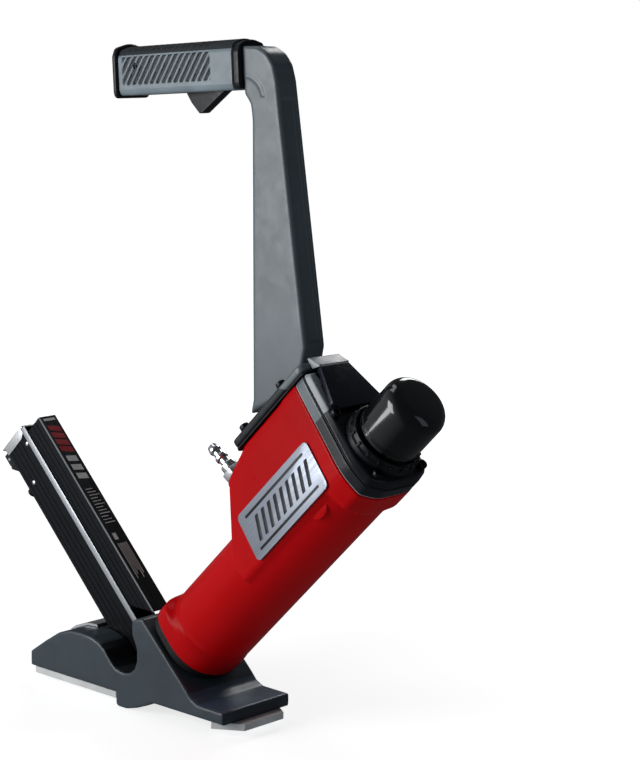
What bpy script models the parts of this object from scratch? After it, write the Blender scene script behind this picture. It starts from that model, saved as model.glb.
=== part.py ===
"""Mallet-driven pneumatic flooring nailer.

Blender script.  Lengths in the constants are millimetres; meshes are written in metres.
World frame: +X points to the side the body leans to, +Z up.  The origin is the middle of
the rear sole plate's underside, the face that rests on a floorboard.

Three empties carry the tilted groups:
  drive_frame     origin on the shoe's seat face, local +Z up the drive axis (45 deg)
  magazine_frame  origin where the magazine's middle line meets the drive axis,
                  local +Z up the magazine, local +X along the drive axis
  grip_frame      origin at the middle of the grip, local +X along the grip
"""
from math import atan2, cos, pi, radians, sin, tan

import bmesh
import bpy
from mathutils import Matrix, Vector

MM = 0.001
GAP = 0.3              # clearance between touching pieces
ROUND = 32             # sides of a large round piece
SMALL = 16             # sides of a screw or pin

# Shoe and soles (world x, z)
SHOE_WIDTH = 80.0
SOLE_T = 5.7
UNDERSIDE = SOLE_T + GAP
SHOE_REAR = -56.0
SHOE_FRONT = 186.0
FENCE_X = 56.0         # rear face of the fence, which meets the board's edge
FENCE_DROP = 6.2       # how far the fence hangs below the soles
FENCE_RELIEF = 0.8     # above the soles' plane the fence's face steps back
REAR_SOLE_HALF = 55.0
SOLE_HALF_WIDTH = 38.0
FRONT_SOLE_REAR = 171.0
FRONT_SOLE_FRONT = 195.0

# Drive group (drive_frame)
SEAT_LENGTH = 84.6     # from the nail exit up the axis to the shoe's seat face
GUIDE_LOW = -70.0
BODY_LOW = 8.0
BODY_TOP = 265.3
BODY_R = 37.0
BASE_HALF = 37.0       # the housing's foot is a rounded square
BASE_CORNER = 22.0
BASE_TOP = 26.0
FLANGE_FRONT = 37.5
SIDE_FRONT = (10.0, 38.8)   # x' and y where the reservoir's flat sides end, at the front
BORE_R = 31.3
SLEEVE_R = 27.0
SLEEVE_LOW = 14.3
SLEEVE_TOP = 190.0
BACK_X = -76.6         # rear face of the air reservoir
BACK_HALF = 27.0       # half width of the reservoir at its rear
BUMPER_TOP = 36.0
PISTON_LOW = 126.5
PISTON_T = 17.0
BLADE_TIP = 6.0
BLADE_HALF = (1.6, 4.2)
ADAPTER_T = 10.4
HEAD_T = 5.5
HEAD_TAPER = 0.94
CAP_R = 27.3
CAP_LOW = 296.0
CAP_TOP = 342.4
COLLAR_R = 32.2
ROD_R = 7.0
INLET_AT = (-53.0, 145.0)
BADGE_TOP = 250.5
BADGE_LENGTH = 104.5
BADGE_WIDTH = 44.0
BADGE_T = 1.2
BADGE_FRONT = 9.0
INLET_TILT = 12.3      # degrees below square to the drive axis

# Handle (world x, z) and grip (grip_frame)
POST_HALF = 12.4
FOOT_T = 9.0           # from the reservoir's face to the outside of the handle's foot
GRIP_AT = (97.5, 536.0)
GRIP_TILT = 4.0
GRIP_HALF = (17.0, 20.5)
GRIP_REAR = -62.0
GRIP_FRONT = 71.0
ARM_HALF = (11.0, 13.7)
TRIGGER_HALF = 4.5
TRIGGER_PIVOT = (53.5, -9.0)
TRIGGER_SLOT = (1.0, 61.0, 5.5)   # start, end and half width of its slot under the grip
VALVE_X = 20.0

# Magazine (magazine_frame)
MAG_HALF_Y = 10.0
MAG_HALF_X = 29.3
MAG_SEAM = 5.0         # where the cover meets the rail
MAG_LOW = 8.9
RAIL_TOP = 264.0
COVER_TOP = 256.6
COVER_CUT = 75.0       # x + z of the cover's level lower end
MAG_ON_AXIS = 38.3     # from the nail exit up the drive axis to the magazine's middle line
WALL = 1.8
PUSHER_LOW = 138.0     # its nose, with the pusher hooked back
PUSHER_HIGH = 232.0
KNOB_Z = 219.5
LATCH_PIN = (-34.0, 256.0)


# ---------------------------------------------------------------- helpers
def clear_scene():
    for obj in list(bpy.data.objects):
        bpy.data.objects.remove(obj, do_unlink=True)


def material(name, rgb, roughness, metallic=0.0):
    mat = bpy.data.materials.new(name)
    mat.use_nodes = True
    shader = mat.node_tree.nodes["Principled BSDF"]
    shader.inputs["Base Color"].default_value = (*rgb, 1)
    shader.inputs["Roughness"].default_value = roughness
    shader.inputs["Metallic"].default_value = metallic
    mat.diffuse_color = (*rgb, 1)
    return mat


def empty(name, x, z, angle):
    obj = bpy.data.objects.new(name, None)
    bpy.context.collection.objects.link(obj)
    obj.location = (x * MM, 0, z * MM)
    obj.rotation_euler = (0, radians(angle), 0)
    return obj


def add_object(name, bm, mat, parent, at=(0, 0, 0)):
    """Make an object of a bmesh in millimetres, with its origin moved to at."""
    bmesh.ops.translate(bm, verts=bm.verts, vec=-Vector(at))
    bmesh.ops.scale(bm, verts=bm.verts, vec=(MM, MM, MM))
    bmesh.ops.recalc_face_normals(bm, faces=bm.faces)
    mesh = bpy.data.meshes.new(name)
    bm.to_mesh(mesh)
    bm.free()
    mesh.shade_smooth()
    mesh.set_sharp_from_angle(angle=radians(35))
    obj = bpy.data.objects.new(name, mesh)
    bpy.context.collection.objects.link(obj)
    if mat:
        mesh.materials.append(mat)
    obj.parent = parent
    obj.location = Vector(at) * MM
    return obj


def prism_mesh(outline, low, high, axis="y"):
    """Extrude an outline: (x, z) points along Y, (x, y) along Z, or (y, z) along X."""
    bm = bmesh.new()
    ends = []
    for h in (low, high):
        corners = {"y": [(p, h, q) for p, q in outline], "z": [(p, q, h) for p, q in outline],
                   "x": [(h, p, q) for p, q in outline]}[axis]
        ends.append([bm.verts.new(corner) for corner in corners])
    for ring in ends:
        bm.faces.new(ring)
    count = len(outline)
    for i in range(count):
        j = (i + 1) % count
        bm.faces.new((ends[0][i], ends[0][j], ends[1][j], ends[1][i]))
    return bm


def prism(name, outline, low, high, mat, parent=None, axis="y", at=(0, 0, 0)):
    return add_object(name, prism_mesh(outline, low, high, axis), mat, parent, at)


def block(name, low, high, mat, parent=None, at=(0, 0, 0)):
    outline = [(low[0], low[2]), (high[0], low[2]), (high[0], high[2]), (low[0], high[2])]
    return prism(name, outline, low[1], high[1], mat, parent, "y", at)


def turned(name, profile, mat, parent=None, sides=ROUND, turn=None, centre=(0, 0, 0), at=None):
    """Revolve a closed (radius, height) profile round local Z, then turn and place it."""
    bm = bmesh.new()
    rings = []
    for radius, height in profile:
        if radius == 0:
            rings.append([bm.verts.new((0, 0, height))])
        else:
            angles = [2 * pi * k / sides for k in range(sides)]
            rings.append([bm.verts.new((radius * cos(a), radius * sin(a), height)) for a in angles])
    pairs = list(zip(rings, rings[1:] + rings[:1]))
    if len(rings[0]) == 1 and len(rings[-1]) == 1:
        pairs.pop()
    for lower, upper in pairs:
        for k in range(sides):
            n = (k + 1) % sides
            if len(lower) == 1:
                bm.faces.new((lower[0], upper[k], upper[n]))
            elif len(upper) == 1:
                bm.faces.new((lower[k], lower[n], upper[0]))
            else:
                bm.faces.new((lower[k], lower[n], upper[n], upper[k]))
    if turn:
        bmesh.ops.transform(bm, matrix=turn, verts=bm.verts)
    bmesh.ops.translate(bm, verts=bm.verts, vec=centre)
    return add_object(name, bm, mat, parent, at or centre)


def rod_profile(radius, low, high):
    return [(0, low), (radius, low), (radius, high), (0, high)]


def ring_profile(inner, outer, low, high):
    return [(inner, low), (outer, low), (outer, high), (inner, high)]


def rounded(points, radius, steps=4):
    """Round the corners of an outline; radius is one number or one for each corner."""
    radii = radius if isinstance(radius, (list, tuple)) else [radius] * len(points)
    outline = []
    for i, point in enumerate(points):
        corner = Vector(point)
        before = (Vector(points[i - 1]) - corner).normalized()
        after = (Vector(points[(i + 1) % len(points)]) - corner).normalized()
        if radii[i] == 0:
            outline.append(tuple(corner))
            continue
        half = before.angle(after) / 2
        reach = radii[i] / tan(half)
        middle = corner + (before + after).normalized() * radii[i] / sin(half)
        start = corner + before * reach - middle
        sweep = start.angle_signed(corner + after * reach - middle)
        for k in range(steps + 1):
            turn = Matrix.Rotation(-sweep * k / steps, 2)
            outline.append(tuple(middle + turn @ start))
    return outline


def boolean(obj, tool, operation):
    """Cut with, or join, another object, which becomes a hidden guide."""
    modifier = obj.modifiers.new(operation.lower(), "BOOLEAN")
    modifier.operation = operation
    modifier.object = tool
    modifier.solver = "EXACT"
    tool.hide_render = True
    tool.display_type = "WIRE"


def cut(obj, tool):
    boolean(obj, tool, "DIFFERENCE")


def join(obj, tool):
    boolean(obj, tool, "UNION")


def soften(obj, width, segments=2, angle=50):
    modifier = obj.modifiers.new("edges", "BEVEL")
    modifier.width = width * MM
    modifier.segments = segments
    modifier.limit_method = "ANGLE"
    modifier.angle_limit = radians(angle)


# ---------------------------------------------------------------- shared outlines
def reservoir_outline(inset=0.0):
    """Flat sides that narrow to the rear; the front corners sink into the round body, in (x, y)."""
    front, side = SIDE_FRONT
    back, half = BACK_X + inset, BACK_HALF - inset
    points = [(back, half), (back, -half), (front, inset - side), (26, -20), (26, 20), (front, side - inset)]
    return rounded(points, [6, 6, 9, 0, 0, 9], 3)


def flange_outline():
    """Outline of the head joint: the reservoir's, with bolt lugs at the front corners."""
    front, side = SIDE_FRONT
    points = [(BACK_X, BACK_HALF), (BACK_X, -BACK_HALF), (front, -side), (30, -34.5),
              (FLANGE_FRONT, -18.5), (FLANGE_FRONT, 18.5), (30, 34.5), (front, side)]
    return rounded(points, [6, 6, 14, 7, 7, 7, 7, 14], 3)


def base_outline(inset=0.0):
    half = BASE_HALF - inset
    return rounded([(-half, half), (-half, -half), (half, -half), (half, half)], BASE_CORNER - inset, 5)


STUDS = [(22.6, 27.9), (-22.6, -27.9)]
HEAD_BOLTS = [(-33, 28), (-33, -28), (26, 26), (26, -26)]


def cap_screw(name, seat, length, mat, parent, turn=None):
    """Socket-head screw whose head stands on its seat point; turn swings it from local +Z."""
    radius, height, shank = 4.2, 4.5, 2.4
    socket = radius * 0.5
    profile = [(0, -length), (shank, -length), (shank, 0), (radius, 0), (radius, height),
               (socket, height), (socket, height * 0.45), (0, height * 0.45)]
    return turned(name, profile, mat, parent, SMALL, turn, seat)


# ---------------------------------------------------------------- base
def build_base(mats, drive, mag):
    half = SHOE_WIDTH / 2
    top = UNDERSIDE
    seat_line = [(89, 77), (143, 26)]
    outline = [(SHOE_REAR, top), (SHOE_REAR, 19), (-19, 43), (-5, 48), (11, 49), (24, 48), (34, 45),
               (42, 40), (50, 31), (56, 26), (65, 25), (72, 26), (79, 31), (82, 38), (82, 49), (76, 61),
               (76, 72), (80, 75), seat_line[0], seat_line[1], (148, 20.5), (156, 16.8), (SHOE_FRONT, 16.5),
               (SHOE_FRONT, top), (102, top), (94, 2), (81, -3), (69, -FENCE_DROP), (58, -FENCE_DROP),
               (FENCE_X, -4), (FENCE_X, -GAP), (FENCE_X + FENCE_RELIEF, GAP), (FENCE_X + FENCE_RELIEF, top)]
    shoe = prism("shoe_casting", outline, -half, half, mats["casting"])
    slot = block("slot_cut", (-MAG_HALF_X - GAP, -MAG_HALF_Y - GAP, MAG_LOW - 1),
                 (MAG_HALF_X + GAP, MAG_HALF_Y + GAP, 140), None, mag)
    cut(shoe, slot)
    pocket = block("guide_cut", (-8.3, -10, GUIDE_LOW - GAP), (8.3, 10, 5), None, drive)
    cut(shoe, pocket)
    channel = block("exit_cut", (-3, -5, -110), (3, 5, GUIDE_LOW + 5), None, drive)
    cut(shoe, channel)

    long, wide = REAR_SOLE_HALF, SOLE_HALF_WIDTH
    rear = rounded([(-long, -wide), (long, -wide), (long, wide), (-long, wide)], [6, 1, 1, 6], 3)
    sole = prism("rear_sole_plate", rear, 0, SOLE_T, mats["sole"], None, "z")
    front = [(FRONT_SOLE_REAR, -wide), (FRONT_SOLE_FRONT, -23), (FRONT_SOLE_FRONT, 23),
             (FRONT_SOLE_REAR, wide)]
    front_sole = prism("front_sole_plate", front, 0, SOLE_T, mats["sole"], None, "z")
    spots = [(-38, 24, sole), (-38, -24, sole), (178, 20, front_sole), (178, -20, front_sole)]
    for index, (x, y, plate) in enumerate(spots, 1):
        hole = turned("sole_cut_%d" % index, rod_profile(4.0, -1, SOLE_T + 5.5), None, None, SMALL,
                      centre=(x, y, 0), at=(0, 0, 0))
        cut(plate, hole)
        cut(shoe, hole)
        profile = [(0, 2.4), (1.4, 2.4), (1.4, 1.0), (3.7, 1.0), (3.7, 3.0), (2.2, 3.0), (2.2, 10), (0, 10)]
        turned("sole_screw_%d" % index, profile, mats["steel"], None, SMALL, centre=(x, y, 0))

    guide = [(-8, -9.7), (8, -9.7), (8, 9.7), (-8, 9.7), (-8, 4.9), (2.3, 4.9), (2.3, -4.9), (-8, -4.9)]
    prism("driver_guide", guide, GUIDE_LOW, -GAP, mats["steel"], drive, "z")
    spacer = prism("nose_spacer", base_outline(1.5), GAP, BODY_LOW - GAP, mats["rubber"], drive, "z")
    cut(spacer, turned("spacer_cut", rod_profile(14, -5, 20), None, drive, 24))
    for index, (x, y) in enumerate(STUDS, 1):
        place = (x, y, 0)
        hole = turned("stud_cut_%d" % index, rod_profile(2.8, -20, 26), None, drive, SMALL, centre=place)
        cut(shoe, hole)
        cut(spacer, hole)
        stud = rod_profile(2.5, -19.5, 25.5)
        turned("shoe_stud_%d" % index, stud, mats["steel"], drive, SMALL, centre=place)
    mount = [(-26, 38.9), (-19.2, 43.3), (-5, 48.35), (8, 49.3), (7, 51.3), (-6, 50.3), (-20.3, 45.2),
             (-27.3, 40.7)]
    prism("magazine_mount", mount, -17, 17, mats["steel"])
    return shoe


# ---------------------------------------------------------------- power unit
def build_housing(mats, drive):
    neck = BODY_R - 0.8
    tube = [(0, BODY_LOW + 3), (BODY_R - 3, BODY_LOW + 3), (BODY_R - 3, BASE_TOP - 4), (neck, BASE_TOP - 3),
            (neck, BASE_TOP + 2), (BODY_R, BASE_TOP + 3), (BODY_R, BODY_TOP - 2), (0, BODY_TOP - 2)]
    housing = turned("housing", tube, mats["red"], drive)
    base = prism("base_add", base_outline(), BODY_LOW, BASE_TOP, None, drive, "z")
    join(housing, base)
    reservoir = prism("reservoir_add", reservoir_outline(0.4), 60, BODY_TOP - 1, None, drive, "z")
    underside = [(-100, 40), (10, 40), (10, 104), (-25, 127), (-62, 151), (-67, 155), (BACK_X, 186),
                 (-100, 230)]
    wedge = prism("underside_cut", underside, -60, 60, None, drive)
    cut(reservoir, wedge)
    join(housing, reservoir)
    collar = prism("flange_add", flange_outline(), BODY_TOP - 22, BODY_TOP, None, drive, "z")
    join(housing, collar)
    inlet = Matrix.Rotation(radians(-90 - INLET_TILT), 4, "Y")
    spot = (INLET_AT[0], 0, INLET_AT[1])
    boss = turned("boss_add", rod_profile(11.5, -12, 21), None, drive, 24, inlet, spot)
    join(housing, boss)
    floor = SLEEVE_LOW - 2 * GAP
    bore = turned("bore_cut", [(0, BODY_LOW - 5), (9, BODY_LOW - 5), (9, floor), (BORE_R, floor),
                               (BORE_R, BODY_TOP + 5), (0, BODY_TOP + 5)], None, drive)
    cut(housing, bore)
    store = [(-24, 21), (BACK_X + 6, 15), (BACK_X + 6, -15), (-24, -21)]
    cavity = prism("store_cut", store, 172, BODY_TOP + 5, None, drive, "z")
    cut(housing, cavity)
    hole = turned("inlet_cut", rod_profile(6.3, -30, 30), None, drive, 20, inlet, spot)
    cut(housing, hole)
    for index, (x, y) in enumerate(STUDS, 1):
        stud = turned("stud_bore_%d" % index, rod_profile(2.8, -5, 26), None, drive, SMALL,
                      centre=(x, y, 0), at=(0, 0, 0))
        cut(housing, stud)
    head_bolt_holes(housing, drive, BODY_TOP - 16, BODY_TOP + 5, 2.7, "housing")
    handle_screw_holes(housing, drive, "housing")

    bushing = [(3.4, -8), (6.1, -8), (6.1, 21.3), (9.5, 21.3), (9.5, 29), (5.3, 29), (5.3, 19), (3.4, 19)]
    turned("inlet_bushing", bushing, mats["steel"], drive, 6, inlet, spot)
    plug = [(2.2, 19.5), (4.3, 19.5), (4.3, 29.5), (7.2, 29.5), (7.2, 36), (4.4, 37.5), (4.4, 42),
            (5.6, 43.5), (5.6, 46), (4.0, 47.5), (4.0, 51), (5.2, 53.5), (4.0, 59), (2.2, 59)]
    turned("air_plug", plug, mats["chrome"], drive, 20, inlet, spot)


def head_bolt_holes(obj, drive, low, high, radius, tag):
    for index, (x, y) in enumerate(HEAD_BOLTS, 1):
        hole = turned("%s_bolt_cut_%d" % (tag, index), rod_profile(radius, low, high), None, drive, SMALL,
                      centre=(x, y, 0), at=(0, 0, 0))
        cut(obj, hole)


HANDLE_SCREWS = [(193, 20.5), (193, -20.5), (249, 20.5), (249, -20.5)]


def handle_screw_holes(obj, drive, tag):
    turn = Matrix.Rotation(radians(-90), 4, "Y")
    for index, (z, y) in enumerate(HANDLE_SCREWS, 1):
        hole = turned("%s_screw_cut_%d" % (tag, index), rod_profile(2.7, -14, 14), None, drive, SMALL, turn,
                      (BACK_X, y, z), (0, 0, 0))
        cut(obj, hole)


def build_power(mats, drive):
    build_housing(mats, drive)
    sleeve = ring_profile(SLEEVE_R, BORE_R - GAP, SLEEVE_LOW, SLEEVE_TOP)
    turned("cylinder_sleeve", sleeve, mats["aluminium"], drive)
    inner = SLEEVE_R - GAP
    bumper = [(8, SLEEVE_LOW), (inner, SLEEVE_LOW), (inner, BUMPER_TOP - 8), (22, BUMPER_TOP),
              (10, BUMPER_TOP), (8, BUMPER_TOP - 3)]
    turned("bumper", bumper, mats["rubber"], drive, 24)
    high = PISTON_LOW + PISTON_T
    groove = inner - 2.5
    seal_low, seal_high = PISTON_LOW + 7, PISTON_LOW + 11
    piston = [(0, PISTON_LOW), (14, PISTON_LOW), (inner, PISTON_LOW + 4), (inner, seal_low),
              (groove, seal_low), (groove, seal_high), (inner, seal_high), (inner, high), (0, high)]
    body = turned("piston", piston, mats["aluminium"], drive, 24)
    socket = block("blade_socket_cut", (-BLADE_HALF[0] - GAP, -BLADE_HALF[1] - GAP, PISTON_LOW - 5),
                   (BLADE_HALF[0] + GAP, BLADE_HALF[1] + GAP, PISTON_LOW + 10), None, drive)
    cut(body, socket)
    seal = ring_profile(groove + GAP, inner - 0.1, seal_low + GAP, seal_high - GAP)
    turned("piston_seal", seal, mats["rubber"], drive, 24)
    block("driver_blade", (-BLADE_HALF[0], -BLADE_HALF[1], BLADE_TIP), (*BLADE_HALF, PISTON_LOW + 9.5),
          mats["steel"], drive)


def build_badge(mats, drive):
    """Plain data plate on the reservoir's right-hand flat."""
    front, side = SIDE_FRONT
    slope = atan2(side - BACK_HALF, front - BACK_X)
    high, low = BADGE_TOP, BADGE_TOP - BADGE_LENGTH
    badge = rounded([(-BADGE_WIDTH, low), (0, low), (0, high), (-BADGE_WIDTH, high)], 5, 3)
    plate = prism("badge_plate", badge, -BADGE_T, 0, mats["aluminium"], drive)
    surface = side + (BADGE_FRONT - front) * tan(slope)
    plate.location = (BADGE_FRONT * MM, -(surface + GAP) * MM, 0)
    plate.rotation_euler = (0, 0, -slope)


def build_head(mats, drive):
    low = BODY_TOP + GAP
    adapter = prism("head_adapter", flange_outline(), low, low + ADAPTER_T, mats["casting"], drive, "z")
    cut(adapter, turned("adapter_cut", rod_profile(26, low - 5, low + 20), None, drive, 24))
    low += ADAPTER_T + GAP
    gasket = prism("head_gasket", flange_outline(), low, low + 1.3, mats["rubber"], drive, "z")
    cut(gasket, turned("gasket_cut", rod_profile(26, low - 5, low + 5), None, drive, 24))
    low += 1.3 + GAP
    head = prism("head_plate", flange_outline(), low, low + HEAD_T, mats["casting"], drive, "z")
    for vertex in head.data.vertices:
        if vertex.co.z > (low + 1) * MM:
            vertex.co.x = (vertex.co.x + 0.01) * HEAD_TAPER - 0.01
            vertex.co.y *= HEAD_TAPER
    cut(head, turned("rod_cut", rod_profile(ROD_R + GAP, low - 5, low + 20), None, drive, 24))
    for obj, tag in ((adapter, "adapter"), (gasket, "gasket"), (head, "head")):
        head_bolt_holes(obj, drive, BODY_TOP - 5, low + 20, 2.7, tag)
    seat = low + HEAD_T + GAP
    for index, (x, y) in enumerate(HEAD_BOLTS, 1):
        cap_screw("head_screw_%d" % index, (x, y, seat), 30, mats["black_steel"], drive)

    cover = rounded([(-74.5, -15), (-74.5, 15), (-38.5, 25), (-38.5, -25)], [4, 4, 2, 2], 2)
    prism("exhaust_cover", cover, seat, seat + 3, mats["black"], drive, "z")
    collar = [(CAP_R + 0.8, seat), (COLLAR_R, seat), (COLLAR_R, seat + 6), (COLLAR_R - 2.5, CAP_LOW - 2),
              (CAP_R + 0.8, CAP_LOW - 2)]
    turned("cap_collar", collar, mats["black"], drive)

    crown = CAP_TOP - 1.5
    fillet = 11.5
    dome = [(CAP_R - fillet * (1 - sin(a)), crown - fillet * (1 - cos(a))) for a in
            [pi / 2 * (1 - k / 5) for k in range(6)]]
    cap = [(0, CAP_LOW + 30), (ROD_R + 0.5, CAP_LOW + 30), (ROD_R + 0.5, CAP_LOW + 14), (21, CAP_LOW + 14),
           (21, CAP_LOW), (CAP_R - 1, CAP_LOW), (CAP_R, CAP_LOW + 1)]
    cap += dome + [(0, CAP_TOP)]
    turned("strike_cap", cap, mats["black_gloss"], drive)
    rod = [(0, 205), (ROD_R, 205), (ROD_R, CAP_LOW + 29.7), (0, CAP_LOW + 29.7)]
    turned("ram_rod", rod, mats["steel"], drive, 20)
    valve = [(ROD_R + GAP, 207), (22, 207), (24, 209), (24, 215), (12, 218), (ROD_R + GAP, 218)]
    turned("firing_valve", valve, mats["rubber"], drive, 24)
    coil_spring("cap_spring", 13.5, 1.1, seat + 0.5, CAP_LOW + 13.5, 4, mats["steel"], drive)


def coil_spring(name, radius, wire, low, high, turns, mat, parent):
    """Compression spring round local Z, with a wire of the given radius."""
    steps, sides = 14 * turns, 6
    first = low + wire
    rise = high - wire - first
    bm = bmesh.new()
    rings = []
    for k in range(steps + 1):
        angle = 2 * pi * turns * k / steps
        height = first + rise * k / steps
        ring = []
        for n in range(sides):
            around = 2 * pi * n / sides
            reach = radius + wire * cos(around)
            ring.append(bm.verts.new((reach * cos(angle), reach * sin(angle), height + wire * sin(around))))
        rings.append(ring)
    for lower, upper in zip(rings, rings[1:]):
        for n in range(sides):
            m = (n + 1) % sides
            bm.faces.new((lower[n], lower[m], upper[m], upper[n]))
    bm.faces.new(rings[0])
    bm.faces.new(rings[-1])
    return add_object(name, bm, mat, parent, (0, 0, low))


# ---------------------------------------------------------------- handle and grip
def build_handle(mats, drive, grip):
    low, high = 176.0, 281.0
    face = BACK_X - GAP
    pad = rounded([(BACK_HALF, low), (BACK_HALF, high), (-BACK_HALF, high), (-BACK_HALF, low)], 6, 3)
    gasket = prism("handle_gasket", pad, face - 1.2, face, mats["rubber"], drive, "x")
    handle_screw_holes(gasket, drive, "gasket")
    back = [(187, 260), (189.7, 272), (185.5, 500), (183, 514), (181, 518), (181, 556), (188, 554),
            (198, 547), (206, 538), (211, 529), (250, 300), (240, 290)]
    post = prism("handle_casting", rounded(back, [0, 0, 14, 6, 0, 3, 8, 8, 8, 8, 0, 0], 3),
                 -POST_HALF, POST_HALF, mats["casting"])
    seat = face - 1.5
    foot = prism("foot_add", pad, face - FOOT_T, seat, None, drive, "x")
    join(post, foot)
    base = prism("foot_cut", [(seat, 100), (60, 100), (60, 400), (seat, 400)], -60, 60, None, drive)
    cut(post, base)
    arm = block("arm_add", (-62, -ARM_HALF[0], -ARM_HALF[1]), (92, *ARM_HALF), None, grip)
    join(post, arm)
    start, end, wide = TRIGGER_SLOT
    notch = block("trigger_cut", (start, -wide, -20), (end, wide, -2.5), None, grip)
    cut(post, notch)
    valve_hole = turned("valve_cut", rod_profile(5.3, -4, 10), None, grip, SMALL, centre=(VALVE_X, 0, 0))
    cut(post, valve_hole)
    handle_screw_holes(post, drive, "foot")
    pin_bore(post, grip, "post")
    turn = Matrix.Rotation(radians(-90), 4, "Y")
    for index, (z, y) in enumerate(HANDLE_SCREWS, 1):
        spot = (face - FOOT_T - GAP, y, z)
        cap_screw("handle_screw_%d" % index, spot, 20, mats["black_steel"], drive, turn)
    return post


def pin_bore(obj, grip, tag):
    across = Matrix.Rotation(radians(90), 4, "X")
    spot = (TRIGGER_PIVOT[0], 0, TRIGGER_PIVOT[1])
    hole = turned("%s_pin_cut" % tag, rod_profile(2.0 + GAP, -30, 30), None, grip, SMALL, across, spot)
    cut(obj, hole)


def grip_outline(grow=0.0):
    """Cross-section of the grip in (y, z): flat sides, a crowned top and a flatter bottom."""
    y, z = GRIP_HALF[0] + grow, GRIP_HALF[1] + grow
    half = [(y, -z + 6), (y, z - 11), (y - 3, z - 4.5), (y - 9, z - 1), (0, z)]
    left = [(-a, b) for a, b in reversed(half[:-1])]
    return [(y - 6, -z)] + half + left + [(-y + 6, -z)]


def build_grip(mats, grip):
    sleeve = prism("grip_sleeve", grip_outline(), GRIP_REAR, GRIP_FRONT, mats["grip"], grip, "x")
    bore = block("sleeve_bore", (GRIP_REAR - 5, -ARM_HALF[0] - GAP, -ARM_HALF[1] - GAP),
                 (GRIP_FRONT + 5, ARM_HALF[0] + GAP, ARM_HALF[1] + GAP), None, grip)
    cut(sleeve, bore)
    start, end, wide = TRIGGER_SLOT
    slot = block("sleeve_slot", (start, -wide, -30), (end, wide, -10), None, grip)
    cut(sleeve, slot)
    collar = prism("grip_collar", grip_outline(-1.0), GRIP_FRONT + GAP, GRIP_FRONT + 11, mats["black"],
                   grip, "x")
    hole = block("collar_bore", (GRIP_FRONT - 5, -ARM_HALF[0] - GAP, -ARM_HALF[1] - GAP),
                 (GRIP_FRONT + 15, ARM_HALF[0] + GAP, ARM_HALF[1] + GAP), None, grip)
    cut(collar, hole)
    cap = prism("grip_end_cap", grip_outline(2.2), GRIP_REAR - 5.8, GRIP_REAR - GAP, mats["black"], grip, "x")
    soften(cap, 2.2, 2)
    across = Matrix.Rotation(radians(90), 4, "X")
    spot = (-41, -GRIP_HALF[0] + 1.4, 3)
    screw_hole = turned("grip_screw_cut", rod_profile(3.0, -9, 6), None, grip, SMALL, across, spot, (0, 0, 0))
    cut(sleeve, screw_hole)
    screw = [(0, -3.2), (2.7, -3.2), (2.7, 0), (1.2, 0), (1.2, -1.4), (0, -1.4)]
    turned("grip_screw", screw, mats["black_steel"], grip, SMALL, across, spot)

    x, z = TRIGGER_PIVOT
    outline = rounded([(4, -19.5), (10.5, -29), (19, -37.8), (23, -37.5), (50, -20.5), (58, -14), (58, -5),
                       (49, -5), (47, -11), (28, -14)], [2, 4, 2.5, 2.5, 3, 3, 4, 3, 2, 5], 3)
    trigger = prism("trigger", outline, -TRIGGER_HALF, TRIGGER_HALF, mats["black"], grip, "y", (x, 0, z))
    pin_bore(trigger, grip, "trigger")
    turned("trigger_pin", rod_profile(2.0, 0.2 - ARM_HALF[0], ARM_HALF[0] - 0.2), mats["steel"], grip, SMALL,
           across, (x, 0, z))
    spot = (VALVE_X, 0, 0)
    turned("trigger_valve_body", ring_profile(2.0, 5.0, -3.5, 9.5), mats["brass"], grip, SMALL, centre=spot)
    turned("trigger_valve_stem", rod_profile(1.9, -15.1, 3), mats["steel"], grip, SMALL, centre=spot)


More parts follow.
